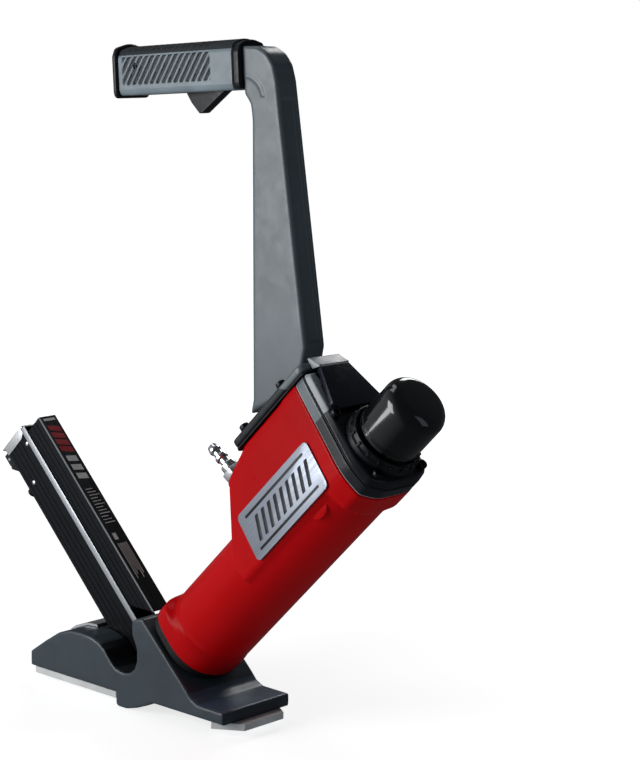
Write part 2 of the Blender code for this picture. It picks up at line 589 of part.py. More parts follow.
# ---------------------------------------------------------------- magazine
def build_magazine(mats, mag):
    y, x = MAG_HALF_Y, MAG_HALF_X
    rail = [(-x, -y), (MAG_SEAM - GAP, -y), (MAG_SEAM - GAP, -y + WALL), (-x + WALL, -y + WALL),
            (-x + WALL, y - WALL), (MAG_SEAM - GAP, y - WALL), (MAG_SEAM - GAP, y), (-x, y)]
    body = prism("magazine_rail", rail, MAG_LOW, RAIL_TOP, mats["magazine"], mag, "z")
    slot = block("knob_slot_cut", (-x - 5, -2.8, 86), (-x + 5, 2.8, 234), None, mag)
    cut(body, slot)
    cover = [(MAG_SEAM, -y), (x, -y), (x, y), (MAG_SEAM, y), (MAG_SEAM, y - WALL), (x - WALL, y - WALL),
             (x - WALL, -y + WALL), (MAG_SEAM, -y + WALL)]
    lid = prism("magazine_cover", cover, 30, COVER_TOP, mats["magazine"], mag, "z")
    level = [(-20, -20), (60, -20), (60, COVER_CUT - 60), (-20, COVER_CUT + 20)]
    low_end = prism("cover_cut", level, -30, 30, None, mag)
    cut(lid, low_end)
    top = COVER_CUT - x
    throat = [(MAG_SEAM, MAG_LOW), (x, MAG_LOW), (x, top - 9), (x - 8, top - 1), (MAG_SEAM, top)]
    feed = prism("feed_throat", throat, -y, y, mats["steel"], mag)
    path = block("throat_cut", (-40, -2.4, -5), (22, 2.4, 90), None, mag)
    cut(feed, path)
    for side, tag in ((1, "left"), (-1, "right")):
        strip = sorted((side * (y + GAP), side * (y + 1.3)))
        block("side_strip_" + tag, (MAG_SEAM - 2, strip[0], 62), (MAG_SEAM + 2.6, strip[1], 252),
              mats["aluminium"], mag)

    pusher = block("pusher", (-x + WALL + 0.6, -6.5, PUSHER_LOW), (2, 6.5, PUSHER_HIGH),
                   mats["steel"], mag, (-10, 0, PUSHER_LOW))
    turn = Matrix.Rotation(radians(-90), 4, "Y")
    knob_profile = [(0, -5), (2.2, -5), (2.2, 3.2), (4.6, 4.0), (4.6, 8.2), (3.4, 9.2), (0, 9.2)]
    knob = turned("knob_add", knob_profile, None, mag, SMALL, turn, (-x, 0, KNOB_Z))
    join(pusher, knob)
    coil = Matrix.Rotation(radians(90), 4, "X")
    hub = (-5, 0, KNOB_Z - 4.5)
    drum = turned("spring_seat_cut", rod_profile(7.6, -20, 20), None, mag, 20, coil, hub)
    cut(pusher, drum)
    turned("pusher_spring", ring_profile(4.0, 7.2, -5, 5), mats["steel"], mag, 20, coil, hub)

    low, high = RAIL_TOP + GAP, RAIL_TOP + 2.3
    bracket = [(-x - 0.5, low), (4, low), (4, high), (-x - 2.5, high)]
    prism("rear_bracket", bracket, -y, y, mats["aluminium"], mag)
    px, pz = LATCH_PIN
    ears = [(-x - GAP, 246), (-x - GAP, 262), (px - 3.5, 262), (px - 3.5, 251)]
    for side, tag in ((1, "left"), (-1, "right")):
        span = sorted((side * 5.0, side * 7.0))
        ear = prism("latch_ear_" + tag, ears, span[0], span[1], mats["magazine"], mag)
        latch_bore(ear, mag, tag)
    lever = rounded([(px + 1.8, pz + 3.8), (px + 3.7, pz + 1), (-x - 1, 240), (-x - 5, 240), (px - 6, 249),
                     (px - 5, 262), (px - 2, 262)], [1, 1, 1, 2, 2, 1.5, 1], 2)
    latch = prism("latch_lever", lever, -4.5, 4.5, mats["black"], mag, "y", (px, 0, pz))
    latch_bore(latch, mag, "lever")
    turned("latch_pin", rod_profile(1.5, -7.5, 7.5), mats["steel"], mag, 12, coil, (px, 0, pz))


def latch_bore(obj, mag, tag):
    across = Matrix.Rotation(radians(90), 4, "X")
    hole = turned("latch_cut_" + tag, rod_profile(1.8, -30, 30), None, mag, 12, across,
                  (LATCH_PIN[0], 0, LATCH_PIN[1]))
    cut(obj, hole)


# ---------------------------------------------------------------- assembly
def main():
    clear_scene()
    mats = {
        "red": material("red_gloss", (0.55, 0.01, 0.012), 0.22),
        "casting": material("grey_casting", (0.13, 0.17, 0.19), 0.45, 0.3),
        "black": material("black_satin", (0.012, 0.014, 0.018), 0.4),
        "black_gloss": material("black_gloss", (0.008, 0.008, 0.009), 0.12),
        "magazine": material("black_anodised", (0.012, 0.013, 0.014), 0.35, 0.2),
        "grip": material("grip_rubber", (0.09, 0.12, 0.135), 0.6),
        "rubber": material("black_rubber", (0.01, 0.01, 0.01), 0.7),
        "steel": material("steel", (0.6, 0.6, 0.62), 0.3, 1.0),
        "black_steel": material("black_steel", (0.02, 0.02, 0.02), 0.35, 0.8),
        "aluminium": material("aluminium", (0.7, 0.72, 0.74), 0.35, 1.0),
        "chrome": material("chrome", (0.8, 0.8, 0.82), 0.1, 1.0),
        "brass": material("brass", (0.7, 0.5, 0.2), 0.3, 1.0),
        "sole": material("white_sole", (0.8, 0.8, 0.78), 0.4),
    }
    exit_z = -FENCE_DROP
    reach = SEAT_LENGTH / 2 ** 0.5
    drive = empty("drive_frame", FENCE_X + reach, exit_z + reach, 45)
    rise = MAG_ON_AXIS / 2 ** 0.5
    mag = empty("magazine_frame", FENCE_X + rise, exit_z + rise, -45)
    grip = empty("grip_frame", *GRIP_AT, -GRIP_TILT)
    build_base(mats, drive, mag)
    build_power(mats, drive)
    build_badge(mats, drive)
    build_head(mats, drive)
    build_handle(mats, drive, grip)
    build_grip(mats, grip)
    build_magazine(mats, mag)


main()
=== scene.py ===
"""Looks of the flooring nailer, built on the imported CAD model.

Shapes are written in millimetres in one of four frames (row, drive, magazine, grip) and
placed in the row frame in metres.  The row frame's origin is the middle of the rear sole's
underside.
"""

from math import atan2, cos, hypot, pi, radians, sin, sqrt, tan

import bmesh
import bpy
import numpy as np
from mathutils import Matrix, Vector


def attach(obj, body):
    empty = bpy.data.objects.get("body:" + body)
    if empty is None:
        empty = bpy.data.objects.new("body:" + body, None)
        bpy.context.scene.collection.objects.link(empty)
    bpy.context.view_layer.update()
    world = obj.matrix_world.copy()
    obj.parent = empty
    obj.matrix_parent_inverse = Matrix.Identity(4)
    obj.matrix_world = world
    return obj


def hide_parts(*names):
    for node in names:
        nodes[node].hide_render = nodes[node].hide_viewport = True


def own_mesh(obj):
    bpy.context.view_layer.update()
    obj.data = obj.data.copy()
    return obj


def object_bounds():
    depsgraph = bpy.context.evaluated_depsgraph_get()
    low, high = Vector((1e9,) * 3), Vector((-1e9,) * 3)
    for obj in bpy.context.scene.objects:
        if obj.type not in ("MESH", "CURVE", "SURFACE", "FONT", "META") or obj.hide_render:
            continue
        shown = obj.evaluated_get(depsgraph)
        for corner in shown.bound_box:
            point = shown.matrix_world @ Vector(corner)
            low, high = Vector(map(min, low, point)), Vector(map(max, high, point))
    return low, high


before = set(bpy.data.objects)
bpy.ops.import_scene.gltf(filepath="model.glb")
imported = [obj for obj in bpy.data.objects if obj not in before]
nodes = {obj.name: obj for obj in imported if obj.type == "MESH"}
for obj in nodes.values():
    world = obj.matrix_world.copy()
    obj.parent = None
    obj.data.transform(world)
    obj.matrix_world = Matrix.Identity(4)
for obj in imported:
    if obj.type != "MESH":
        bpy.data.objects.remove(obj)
cad_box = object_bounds()

MM = 0.001
HALF_ROOT = sqrt(0.5)
FENCE_X, FENCE_Z = 56.0, -6.2          # the cleat leaves here, on the drive axis
SEAT_LENGTH = 84.6                     # from the fence to the shoe's seat, along the drive axis
MAG_ON_AXIS = 38.3                     # from the fence to the magazine's line, along the drive axis
GRIP_AT = (97.5, 536.0)
GRIP_TILT = 4.0


def tilted(x, z, degrees):
    """Frame with its origin at (x, 0, z) mm, turned about Y; takes mm to row-frame metres."""
    scale = Matrix.Scale(MM, 4)
    return scale @ Matrix.Translation((x, 0, z)) @ Matrix.Rotation(radians(degrees), 4, "Y")


ROW = Matrix.Scale(MM, 4)
DRIVE = tilted(FENCE_X + SEAT_LENGTH * HALF_ROOT, FENCE_Z + SEAT_LENGTH * HALF_ROOT, 45)
MAG = tilted(FENCE_X + MAG_ON_AXIS * HALF_ROOT, FENCE_Z + MAG_ON_AXIS * HALF_ROOT, -45)
GRIP = tilted(*GRIP_AT, -GRIP_TILT)


# ---------------------------------------------------------------- materials
def ramp(tree, value, low, high, out_low, out_high):
    """Map a value from one range to another, holding it at both ends."""
    node = tree.nodes.new("ShaderNodeMapRange")
    node.clamp = True
    for key, number in (("From Min", low), ("From Max", high), ("To Min", out_low), ("To Max", out_high)):
        node.inputs[key].default_value = number
    tree.links.new(value, node.inputs["Value"])
    return node.outputs["Result"]


class Paint:
    """A Principled material with helpers that add procedural layers to it."""

    def __init__(self, name, rgb, roughness, metallic=0.0, **sockets):
        self.mat = bpy.data.materials.new(name)
        self.mat.use_nodes = True
        self.tree = self.mat.node_tree
        self.shader = self.tree.nodes["Principled BSDF"]
        self.shader.inputs["Metallic"].default_value = metallic
        for key, value in sockets.items():
            self.shader.inputs[key.replace("_", " ")].default_value = value
        self.coords = self.add("ShaderNodeTexCoord").outputs["Object"]
        self.rgb = rgb
        self.roughness = roughness
        self.normal = None

    def add(self, kind, **settings):
        node = self.tree.nodes.new(kind)
        for key, value in settings.items():
            if hasattr(node, key):
                setattr(node, key, value)
            else:
                node.inputs[key.replace("_", " ")].default_value = value
        return node

    def link(self, output, socket):
        self.tree.links.new(output, socket)

    def stretched(self, scale, degrees=0.0):
        """Coordinates scaled along three axes, after a turn about Y."""
        turn = self.add("ShaderNodeMapping")
        turn.inputs["Rotation"].default_value = (0, radians(degrees), 0)
        size = self.add("ShaderNodeMapping")
        size.inputs["Scale"].default_value = scale
        self.link(self.coords, turn.inputs["Vector"])
        self.link(turn.outputs["Vector"], size.inputs["Vector"])
        return size.outputs["Vector"]

    def noise(self, scale, detail=4.0, vector=None, distortion=0.0):
        node = self.add("ShaderNodeTexNoise", Scale=scale, Detail=detail, Distortion=distortion)
        self.link(vector or self.coords, node.inputs["Vector"])
        return node.outputs["Fac"]

    def ramp(self, value, low, high, out_low, out_high):
        return ramp(self.tree, value, low, high, out_low, out_high)

    def colour(self, value, amount):
        """Darken the base colour by up to `amount` with a 0..1 value."""
        mix = self.add("ShaderNodeMix", data_type="RGBA")
        first, second = [socket for socket in mix.inputs if socket.type == "RGBA"]
        first.default_value = (*self.rgb, 1)
        second.default_value = (*(c * (1 - amount) for c in self.rgb), 1)
        self.link(value, mix.inputs["Factor"])
        result = next(socket for socket in mix.outputs if socket.type == "RGBA")
        self.link(result, self.shader.inputs["Base Color"])

    def rough(self, value, spread):
        """Vary the roughness by `spread` either way with a 0..1 value."""
        self.link(self.ramp(value, 0.3, 0.7, self.roughness - spread, self.roughness + spread),
                  self.shader.inputs["Roughness"])

    def bump(self, value, distance, strength=1.0):
        """Add relief on top of any that the material has already; `distance` is in metres."""
        node = self.add("ShaderNodeBump")
        node.inputs["Strength"].default_value = strength
        node.inputs["Distance"].default_value = distance
        self.link(value, node.inputs["Height"])
        if self.normal:
            self.link(self.normal, node.inputs["Normal"])
        self.normal = node.outputs["Normal"]
        self.link(self.normal, self.shader.inputs["Normal"])


def glossy_paint(name, rgb, roughness, coat, peel, shine=0.5):
    """Sprayed paint: faint orange peel, slight tone drift and a few rubbed patches."""
    p = Paint(name, rgb, roughness, Coat_Weight=coat, Coat_Roughness=0.06, Specular_IOR_Level=shine)
    drift = p.noise(9, 3)
    p.colour(p.ramp(drift, 0.35, 0.7, 0, 1), 0.16)
    p.rough(p.noise(60, 6), 0.05)
    p.bump(p.noise(900, 2), peel, 0.6)
    p.bump(p.noise(28, 2), peel * 3, 0.35)
    return p.mat


def cast_paint(name, rgb, roughness, grain, shine=0.5):
    """Satin paint over a casting: fine sand grain, soft unevenness and scuffs."""
    p = Paint(name, rgb, roughness, Coat_Weight=0.15, Coat_Roughness=0.3, Specular_IOR_Level=shine)
    scuff = p.noise(14, 8, distortion=0.6)
    p.colour(p.ramp(scuff, 0.4, 0.68, 0, 1), 0.2)
    p.rough(p.noise(120, 5), 0.07)
    p.bump(p.noise(1500, 3), grain, 0.7)
    p.bump(p.noise(70, 3), grain * 4, 0.25)
    return p.mat


def brushed(name, rgb, roughness, scale=(30, 900, 900), degrees=0.0, depth=0.00003):
    """Metal with fine parallel marks along one direction."""
    p = Paint(name, rgb, roughness, 1.0)
    lines = p.noise(1, 6, p.stretched(scale, degrees))
    p.colour(p.ramp(lines, 0.3, 0.7, 0, 1), 0.22)
    p.rough(lines, 0.09)
    p.bump(lines, depth, 0.5)
    return p.mat


def moulded(name, rgb, roughness, grain=0.00004, shine=0.3):
    """Plastic or rubber with a fine moulded grain."""
    p = Paint(name, rgb, roughness, Specular_IOR_Level=shine)
    p.colour(p.ramp(p.noise(35, 5), 0.35, 0.7, 0, 1), 0.25)
    p.rough(p.noise(200, 4), 0.08)
    cells = p.add("ShaderNodeTexVoronoi", Scale=1400.0)
    p.link(p.coords, cells.inputs["Vector"])
    p.bump(cells.outputs["Distance"], grain, 0.5)
    return p.mat


MATS = {
    "red": glossy_paint("red_paint", (0.54, 0.001, 0.003), 0.32, 0.03, 0.00002, 0.06),
    "cap": glossy_paint("black_cap", (0.004, 0.005, 0.006), 0.14, 0.6, 0.00001),
    # casting: the handle's paint, also used as painted light on the head adapter's rear flat
    "casting": cast_paint("blue_grey_paint", (0.1, 0.128, 0.145), 0.36, 0.00003),
    # pale: the rear deflector's colour, and painted highlights on the head's rims and the magazine cover's
    # edge
    "pale": cast_paint("pale_paint_and_painted_highlights", (0.34, 0.37, 0.39), 0.4, 0.00002),
    "shoe": cast_paint("shoe_paint", (0.036, 0.051, 0.065), 0.38, 0.00003, 0.4),
    "head": cast_paint("dark_head_paint", (0.014, 0.017, 0.022), 0.3, 0.00002, 0.2),
    "navy": cast_paint("navy_black_paint", (0.012, 0.014, 0.024), 0.26, 0.00002, 0.3),
    "black": moulded("satin_black", (0.009, 0.010, 0.013), 0.36),
    "grip": moulded("grip_grey", (0.22, 0.275, 0.31), 0.4, 0.00006, 0.5),
    # darker copy of the grip colour: painted shade in the grooves and on the top
    "grip_painted_shade": moulded("grip_painted_shade", (0.022, 0.028, 0.034), 0.45, 0.00006, 0.3),
    # foot: lighter navy on the front foot's top, painted light
    "foot": cast_paint("foot_top_painted_light", (0.066, 0.098, 0.155), 0.42, 0.00003),
    "rubber": moulded("black_rubber", (0.010, 0.010, 0.011), 0.62),
    "sole": moulded("white_sole", (0.72, 0.73, 0.72), 0.42),
    "red_print": moulded("red_print", (0.45, 0.008, 0.02), 0.35),
    "white_print": moulded("white_print", (0.75, 0.75, 0.74), 0.4),
    "dark_print": moulded("dark_print", (0.012, 0.013, 0.02), 0.35),
    "anodised": brushed("black_anodised", (0.022, 0.023, 0.026), 0.34, (900, 900, 20), 45),
    "steel": brushed("steel", (0.55, 0.56, 0.58), 0.32),
    "dark_steel": brushed("dark_steel", (0.035, 0.036, 0.04), 0.36),
    "silver": brushed("aluminium", (0.66, 0.68, 0.71), 0.34, (900, 900, 20), 45, 0.00001),
    "bright": brushed("bright_metal", (0.8, 0.81, 0.82), 0.34, (1800, 1800, 1800), 0, 0.000006),
    "badge": brushed("plate_silver", (0.35, 0.38, 0.44), 0.42, (25, 900, 900), 45),
    "chrome": brushed("chrome", (0.8, 0.8, 0.82), 0.15, (1200, 1200, 1200), 0, 0.000004),
    "brass": brushed("brass", (0.66, 0.46, 0.16), 0.28),
}


# ---------------------------------------------------------------- mesh helpers
SHARPEST_MITRE = 0.35                  # keeps an inset short at an outline's sharp corners


def piece(name, bm, place, body, mat, replaces=(), sharp=34, paints=()):
    """Turn a bmesh in millimetres into a riding piece.  `paints` pairs more materials with a face test."""
    for face in bm.faces:
        face.material_index = 0
        for index, (_, chosen) in enumerate(paints, 1):
            if chosen(face.calc_center_median(), face.normal):
                face.material_index = index
    bmesh.ops.transform(bm, matrix=place, verts=bm.verts)
    bmesh.ops.remove_doubles(bm, verts=bm.verts, dist=1e-7)
    bmesh.ops.recalc_face_normals(bm, faces=bm.faces)
    mesh = bpy.data.meshes.new(name)
    bm.to_mesh(mesh)
    bm.free()
    mesh.shade_smooth()
    mesh.set_sharp_from_angle(angle=radians(sharp))
    mesh.materials.append(MATS[mat])
    for extra, _ in paints:
        mesh.materials.append(MATS[extra])
    obj = bpy.data.objects.new(name, mesh)
    bpy.context.scene.collection.objects.link(obj)
    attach(obj, body)
    if replaces:
        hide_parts(*replaces)
    return obj


def merge(bm, other):
    """Move all of one bmesh into another."""
    mesh = bpy.data.meshes.new("merged")
    other.to_mesh(mesh)
    other.free()
    bm.from_mesh(mesh)
    bpy.data.meshes.remove(mesh)


def loft(rings, bm=None, closed_ends=True):
    """Skin equal rings of points, in order."""
    bm = bm or bmesh.new()
    made = [[bm.verts.new(point) for point in ring] for ring in rings]
    count = len(made[0])
    for lower, upper in zip(made, made[1:]):
        for k in range(count):
            n = (k + 1) % count
            bm.faces.new((lower[k], lower[n], upper[n], upper[k]))
    if closed_ends:
        for ring in (made[0], made[-1]):
            middle = Vector((0, 0, 0))
            for vert in ring:
                middle += vert.co
            hub = bm.verts.new(middle / count)
            for k in range(count):
                bm.faces.new((ring[k], ring[(k + 1) % count], hub))
    return bm


def rounded(points, radius, steps=5, closed=True):
    """Round the corners of a polyline; radius is one number or one for each point."""
    radii = radius if isinstance(radius, (list, tuple)) else [radius] * len(points)
    outline = []
    last = len(points) - 1
    for i, point in enumerate(points):
        corner = Vector(point)
        if radii[i] == 0 or (not closed and i in (0, last)):
            outline.append(tuple(corner))
            continue
        before = (Vector(points[i - 1]) - corner).normalized()
        after = (Vector(points[(i + 1) % len(points)]) - corner).normalized()
        half = before.angle(after) / 2
        reach = radii[i] / tan(half)
        middle = corner + (before + after).normalized() * radii[i] / sin(half)
        start = corner + before * reach - middle
        sweep = start.angle_signed(corner + after * reach - middle)
        for k in range(steps + 1):
            outline.append(tuple(middle + Matrix.Rotation(-sweep * k / steps, 2) @ start))
    return outline


def turned(profile, sides=96, bm=None, place=None):
    """Revolve a (radius, height) profile about Z; a radius of 0 closes it on the axis."""
    bm = bm or bmesh.new()
    first = len(bm.verts)
    rings = []
    turns = [2 * pi * k / sides for k in range(sides)]
    for radius, height in profile:
        if radius < 1e-6:
            rings.append([bm.verts.new((0, 0, height))])
        else:
            rings.append([bm.verts.new((radius * cos(a), radius * sin(a), height)) for a in turns])
    pairs = list(zip(rings, rings[1:]))
    if len(rings[0]) > 1:
        pairs.append((rings[-1], rings[0]))
    for lower, upper in pairs:
        for k in range(sides):
            n = (k + 1) % sides
            corners = ([lower[k], lower[n]] if len(lower) > 1 else lower) + \
                      ([upper[n], upper[k]] if len(upper) > 1 else upper)
            bm.faces.new(corners)
    if place:
        bm.verts.ensure_lookup_table()
        bmesh.ops.transform(bm, matrix=place, verts=bm.verts[first:])
    return bm


def rounded_rims(low, high, edge, steps):
    """Heights and insets of a quarter-round rim at each end."""
    turns = [pi / 2 * k / steps for k in range(steps + 1)]
    layers = [(low + edge * (1 - cos(a)), edge * (1 - sin(a))) for a in turns]
    return layers + [(high - edge * (1 - sin(a)), edge * (1 - cos(a))) for a in turns]


def prism(outline, low, high, axis="y", edge=0.0, steps=3):
    """Extrude an outline with rounded rims.  Points are (x, z) along Y, (x, y) along Z, (y, z) along X."""
    count = len(outline)
    points = [Vector(p) for p in outline]
    area = sum(points[i - 1].cross(points[i]) for i in range(count))
    side = 1 if area > 0 else -1
    inward = []
    for i in range(count):
        a = (points[i] - points[i - 1]).normalized()
        b = (points[(i + 1) % count] - points[i]).normalized()
        na, nb = Vector((-a.y, a.x)) * side, Vector((-b.y, b.x)) * side
        bisector = (na + nb).normalized()
        inward.append(bisector / max(SHARPEST_MITRE, bisector.dot(na)))
    layers = rounded_rims(low, high, edge, steps) if edge else [(low, 0), (high, 0)]
    bm = bmesh.new()
    rings = []
    for height, inset in layers:
        ring = []
        for point, way in zip(points, inward):
            p, q = point + way * inset
            ring.append(bm.verts.new({"y": (p, height, q), "z": (p, q, height), "x": (height, p, q)}[axis]))
        rings.append(ring)
    for lower, upper in zip(rings, rings[1:]):
        for k in range(count):
            n = (k + 1) % count
            bm.faces.new((lower[k], lower[n], upper[n], upper[k]))
    bm.faces.new(rings[0])
    bm.faces.new(rings[-1])
    return bm


def block(low, high, edge=0.0):
    """Box between two corners, with its edges along Y's ends rounded."""
    outline = [(low[0], low[2]), (high[0], low[2]), (high[0], high[2]), (low[0], high[2])]
    return prism(outline, low[1], high[1], "y", edge)


def as_object(bm, name):
    """Turn a closed bmesh into a scene object for modifiers to work on."""
    bmesh.ops.recalc_face_normals(bm, faces=bm.faces)
    mesh = bpy.data.meshes.new(name)
    bm.to_mesh(mesh)
    bm.free()
    obj = bpy.data.objects.new(name, mesh)
    bpy.context.scene.collection.objects.link(obj)
    return obj


def combine(obj, operation, tool):
    modifier = obj.modifiers.new(operation.lower(), "BOOLEAN")
    modifier.operation = operation
    modifier.solver = "EXACT"
    modifier.object = tool


def baked(objects):
    """The first object's shape after its modifiers, as a bmesh.  Removes all the objects."""
    bpy.context.view_layer.update()
    graph = bpy.context.evaluated_depsgraph_get()
    result = bmesh.new()
    result.from_mesh(objects[0].evaluated_get(graph).to_mesh())
    for obj in objects:
        bpy.data.objects.remove(obj, do_unlink=True)
    return result


def pierce(bm, name, tools):
    """Cut a bmesh with others and return the result."""
    objects = [as_object(source, "%s_%d" % (name, index)) for index, source in enumerate([bm] + tools)]
    for tool in objects[1:]:
        combine(objects[0], "DIFFERENCE", tool)
    return baked(objects)


def cast(name, solids, cuts, voxel, smooth):
    """Join and cut solids, then melt their edges as a casting's are.  Returns a bmesh in millimetres."""
    objects = [as_object(solids[0], name + "_base")]
    for operation, group in (("UNION", solids[1:]), ("DIFFERENCE", cuts)):
        for index, bm in enumerate(group):
            objects.append(as_object(bm, "%s_%s_%d" % (name, operation.lower(), index)))
            combine(objects[0], operation, objects[-1])
    remesh = objects[0].modifiers.new("melt", "REMESH")
    remesh.mode = "VOXEL"
    remesh.voxel_size = voxel
    soften = objects[0].modifiers.new("soften", "SMOOTH")
    soften.iterations = smooth
    soften.factor = 0.5
    return baked(objects)


def about(axis, degrees, centre=(0, 0, 0)):
    """Turn about an axis at the origin, followed by a move to `centre`."""
    return Matrix.Translation(centre) @ Matrix.Rotation(radians(degrees), 4, axis)


# ---------------------------------------------------------------- housing and head outlines
BACK_X, BACK_HALF = -76.6, 27.0
SIDE_X, SIDE_Y = 10.0, 38.8
BODY_R = 37.0
BODY_LOW, BODY_TOP = 8.0, 265.3
INLET = (-102.3, (-53, 0, 145))        # tilt of the air inlet's axis, and a point on it
HEAD_TOP = 283.7                       # where the cover, the collar and the screws stand


def eased(value, start, stop):
    """Smooth step from 0 at `start` to 1 at `stop`."""
    share = np.interp(value, sorted((start, stop)), [0, 1] if start < stop else [1, 0])
    return share * share * (3 - 2 * share)


def planes_through(points):
    """Half-planes n.p <= d of a convex outline given anticlockwise."""
    planes = []
    for a, b in zip(points, points[1:] + points[:1]):
        dx, dy = b[0] - a[0], b[1] - a[1]
        length = sqrt(dx * dx + dy * dy)
        nx, ny = dy / length, -dx / length
        planes.append((nx, ny, nx * a[0] + ny * a[1]))
    return planes


def reach(planes, ux, uy, power):
    """Distance from the axis to a convex outline, with its corners rounded: less so as the power grows."""
    total = 0.0
    for nx, ny, d in planes:
        toward = nx * ux + ny * uy
        if toward > 1e-6:
            total += (toward / d) ** power
    return total ** (-1 / power)


def flange_reach(ux, uy, inset=0.0):
    """Distance from the drive axis to the outline of the head's flange."""
    outline = [(BACK_X, -BACK_HALF), (SIDE_X, -SIDE_Y), (30, -34.5), (37.5, -18.5), (37.5, 18.5),
               (30, 34.5), (SIDE_X, SIDE_Y), (BACK_X, BACK_HALF)]
    return reach(planes_through(outline), ux, uy, 34) - inset


def housing_reach(ux, uy, z):
    """Distance from the drive axis to the housing: a tube, a reservoir behind it and a flange on top."""
    low_corner = (abs(ux) ** 3.8 + abs(uy) ** 3.8) ** (-1 / 3.8)
    foot = 37.3 * (low_corner if ux < 0 else 1 + (low_corner - 1) * 0.12)
    back = np.interp(z, [104, 127, 151, 156, 187, 192], [-10, 25, 61.5, 67, 76, 76.2])
    radius = BODY_R
    if back > 14:
        slope = (SIDE_Y - BACK_HALF) / (SIDE_X - BACK_X)
        front_y = SIDE_Y - 0.15
        back_y = front_y - slope * (SIDE_X + back)
        outline = [(-back, -back_y), (SIDE_X, -front_y), (26, -20), (26, 20), (SIDE_X, front_y),
                   (-back, back_y)]
        box = reach(planes_through(outline), ux, uy, 26)
        radius = (BODY_R ** 60 + box ** 60) ** (1 / 60)
    collar = eased(z, 240, 247)
    if collar > 0:
        radius = radius + collar * max(0.0, flange_reach(ux, uy) - radius)
    shoulder = eased(z, 29, 21)
    waist = 0.7 * max(0.0, 1 - abs(z - 31) / 3.0)
    return radius - waist + shoulder * (foot - radius)


def rim(z, low, high, edge):
    """Inset of a rounded rim at either end."""
    near = min(z - low, high - z)
    if near >= edge:
        return 0.0
    return edge - sqrt(max(0.0, edge * edge - (edge - near) ** 2))


def polar_body(low, high, function, edge, sides=224, steps=None, lip=None):
    """Skin a radial function of direction and height between two flat ends.  `lip` shrinks a last ring."""
    count = 6
    heights = [low + edge * (1 - cos(pi / 2 * k / count)) for k in range(count)]
    middle = steps or [low + edge + (high - low - 2 * edge) * k / 8 for k in range(9)]
    heights += middle
    heights += [high - edge * (1 - cos(pi / 2 * k / count)) for k in reversed(range(count))]
    rings = []
    for z in heights:
        inset = rim(z, low, high, edge)
        ring = []
        for k in range(sides):
            a = 2 * pi * (k + 0.5) / sides
            r = function(cos(a), sin(a), z) - inset
            ring.append((r * cos(a), r * sin(a), z))
        rings.append(ring)
    if lip:
        rings.append([(x * lip, y * lip, z) for x, y, z in rings[-1]])
    return loft(rings)


# ---------------------------------------------------------------- housing
def build_housing():
    """Cast body with its inlet boss and two side pads.  Rings are closest where the outline changes."""
    edge = 1.6
    steps = list(np.linspace(BODY_LOW + edge, 34, 26)) + list(np.linspace(36, 100, 14))
    steps += list(np.linspace(102, 200, 74)) + list(np.linspace(204, 236, 9))
    steps += list(np.linspace(238, BODY_TOP - edge, 26))
    body = polar_body(BODY_LOW, BODY_TOP, housing_reach, edge, 240, steps)
    boss = rounded([(0, -14), (11.6, -14), (11.6, 21), (0, 21)], [0, 0, 2.0, 0], 5, False)
    turned(boss, 64, body, about("Y", *INLET))
    for side in (-1, 1):
        pad = rounded([(0, -3), (8.0, -3), (8.0, 0.5), (0, 0.8)], [0, 0, 0.7, 0], 4, False)
        spot = about("Z", 90 * side, (14, side * 33.6, 224))
        turned(pad, 48, body, spot @ about("Y", 90) @ Matrix.Diagonal((1.25, 0.8, 1, 1)))
    piece("housing_shell", body, DRIVE, "frame", "red", ["housing"])


def build_spacer():
    def outline(ux, uy, z):
        return housing_reach(ux, uy, 12) - 1.6
    bore = turned([(0, -5), (14, -5), (14, 20), (0, 20)], 64)
    ring = pierce(polar_body(0.3, 7.7, outline, 0.8), "spacer", [bore])
    piece("nose_spacer_ring", ring, DRIVE, "frame", "rubber", ["nose_spacer"])


